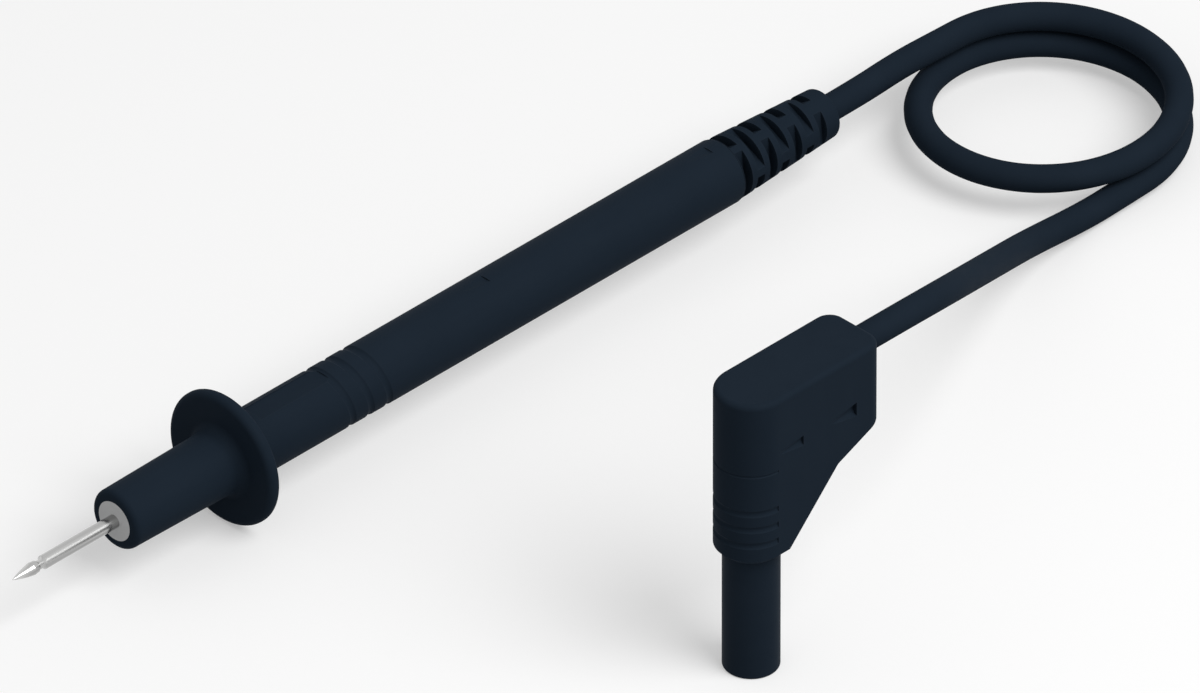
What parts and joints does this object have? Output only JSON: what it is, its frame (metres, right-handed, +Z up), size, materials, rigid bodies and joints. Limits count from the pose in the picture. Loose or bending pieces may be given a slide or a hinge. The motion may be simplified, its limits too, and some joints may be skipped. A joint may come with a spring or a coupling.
{
  "type": "test probe lead",
  "caption": "Hand-held pointed test probe with a finger guard and slotted strain relief, joined by a looped cord to a right-angled shrouded 4 mm plug.",
  "frame": {"origin": "middle of the hand probe's bounding box, at the height of the surface on which its finger guard, the cord's loop and the end of the plug's shroud rest", "axes": "+X along the probe from the needle to the strain relief, +Z up, the plug on the -Y side with its shroud pointing down"},
  "size_m": [0.2016, 0.089, 0.0456],
  "materials": {
    "needle_steel": "polished",
    "grey_insulator": "satin",
    "handle_plastic": "satin",
    "relief_rubber": "matt",
    "tinned_metal": "satin",
    "copper_wire": "satin",
    "inner_insulation": "satin",
    "cord_jacket": "satin",
    "shroud_plastic": "satin",
    "contact_metal": "polished",
    "plug_plastic": "satin"
  },
  "bodies": {
    "lead": {"contact_needle": "needle_steel", "tip_insulator": "grey_insulator", "nose_guard": "handle_plastic", "handle_shell": "handle_plastic", "strain_relief": "relief_rubber", "needle_ferrule": "tinned_metal", "ferrule_sleeve": "grey_insulator", "probe_conductor": "copper_wire", "probe_insulation": "inner_insulation", "probe_jacket": "cord_jacket", "probe_cord_clamp": "tinned_metal", "plug_shroud": "shroud_plastic", "plug_core": "grey_insulator", "plug_pin": "contact_metal", "pin_tip": "shroud_plastic", "plug_body": "plug_plastic", "plug_conductor": "copper_wire", "plug_insulation": "inner_insulation", "plug_jacket": "cord_jacket", "plug_cord_clamp": "tinned_metal", "cord_probe_side": "cord_jacket", "cord_loop": "cord_jacket", "cord_plug_side": "cord_jacket"},
    "basket": {"contact_basket": "contact_metal"}
  },
  "joints": [
    {"name": "basket_spin", "type": "hinge", "parent": "lead", "child": "basket", "pos_m": [-0.01115, -0.0738, 0.0115], "axis": [0, 0, 1], "continuous": true}
  ]
}
